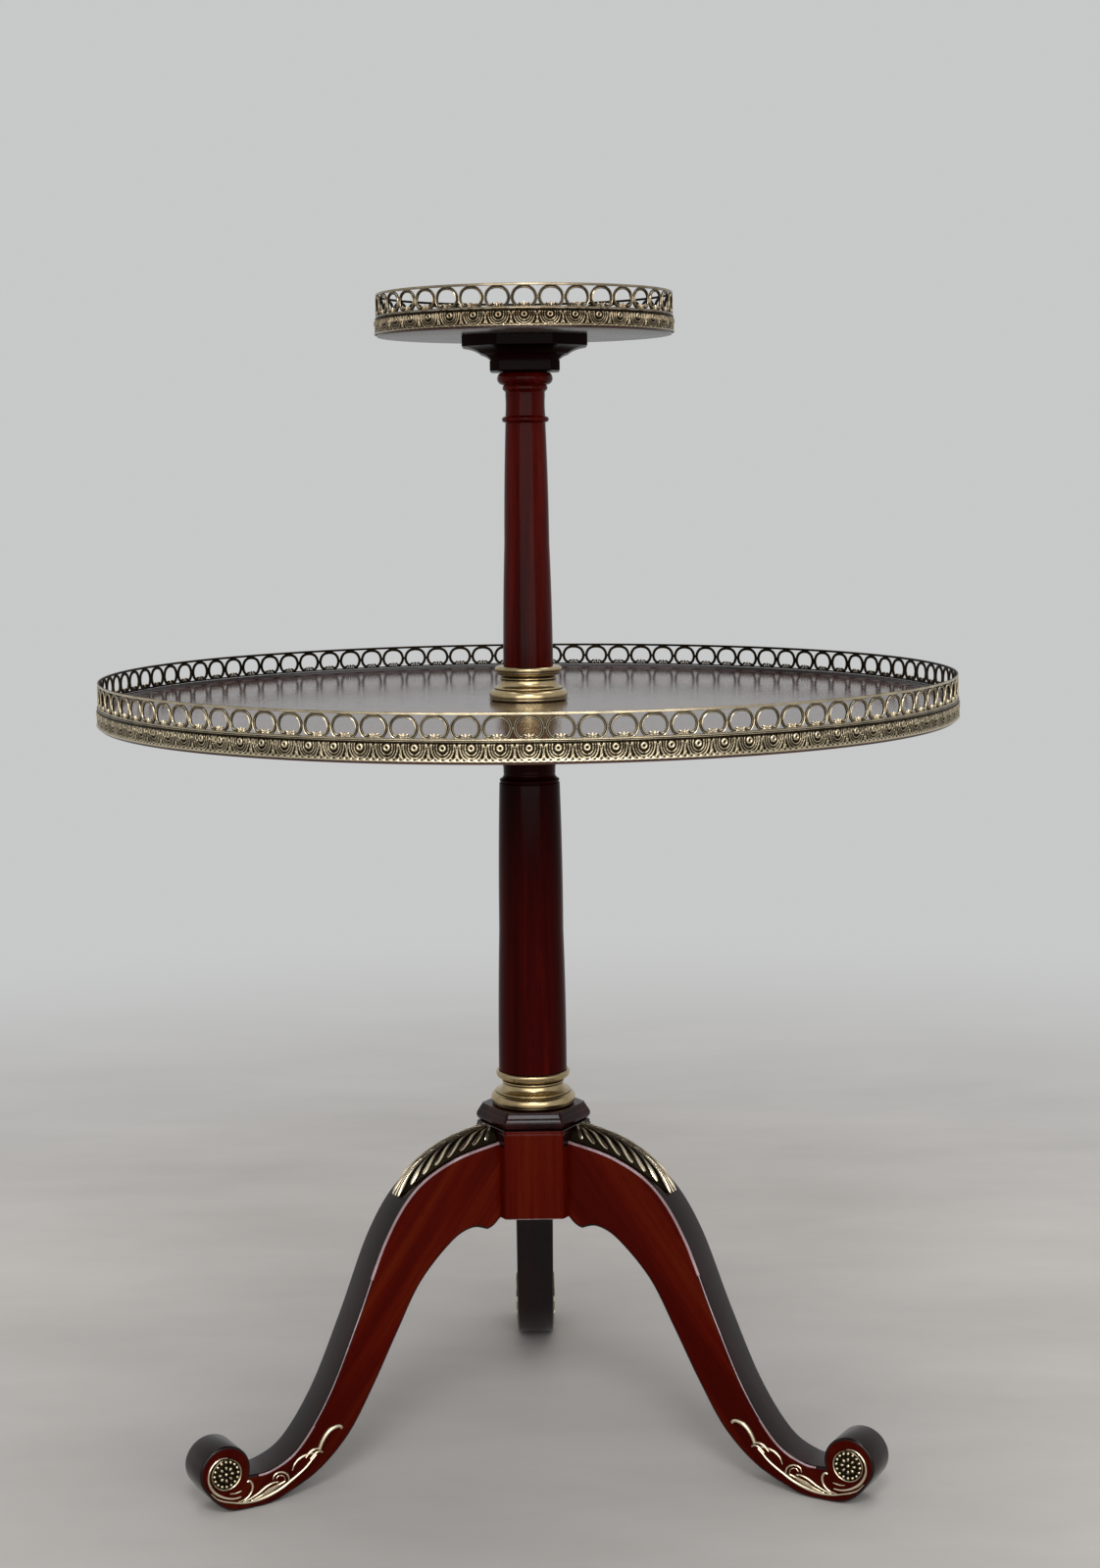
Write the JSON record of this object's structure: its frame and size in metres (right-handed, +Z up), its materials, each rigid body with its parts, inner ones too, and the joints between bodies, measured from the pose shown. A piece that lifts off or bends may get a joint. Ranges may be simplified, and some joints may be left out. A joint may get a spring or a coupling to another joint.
{
  "type": "two-tier pedestal table",
  "caption": "Two-tier round mahogany pedestal table on a tripod base with scroll feet, with pierced brass galleries round both trays.",
  "frame": {"origin": "on the column's axis at floor level, at the centre of the bottom of the table's box", "axes": "+Z up along the column, the front of the table faces -Y, one leg points to +Y (the rear)"},
  "size_m": [0.77, 0.7684, 1.0492],
  "materials": {
    "mahogany": "dark red-brown mahogany, french polished to a gloss",
    "gilt_brass": "aged gilt cast brass with dark recesses",
    "bright_brass": "turned brass, polished",
    "steel": "plain steel of the hidden rod, washer and nut"
  },
  "bodies": {
    "root": {"corbel_block": "mahogany", "foot_rosette_left_left": "gilt_brass", "foot_rosette_left_right": "gilt_brass", "foot_rosette_rear_left": "gilt_brass", "foot_rosette_rear_right": "gilt_brass", "foot_rosette_right_left": "gilt_brass", "foot_rosette_right_right": "gilt_brass", "foot_spray_left_left": "gilt_brass", "foot_spray_left_right": "gilt_brass", "foot_spray_rear_left": "gilt_brass", "foot_spray_rear_right": "gilt_brass", "foot_spray_right_left": "gilt_brass", "foot_spray_right_right": "gilt_brass", "hub": "mahogany", "knee_mount_left": "gilt_brass", "knee_mount_rear": "gilt_brass", "knee_mount_right": "gilt_brass", "leg_left": "mahogany", "leg_rear": "mahogany", "leg_right": "mahogany", "lower_collar": "bright_brass", "lower_column": "mahogany", "main_band": "gilt_brass", "main_gallery": "gilt_brass", "main_tray": "mahogany", "plinth": "mahogany", "rod_insert": "bright_brass", "rod_nut": "steel", "rod_washer": "steel", "tie_rod": "steel", "upper_band": "gilt_brass", "upper_collar": "bright_brass", "upper_column": "mahogany", "upper_gallery": "gilt_brass", "upper_tray": "mahogany"}
  },
  "joints": []
}
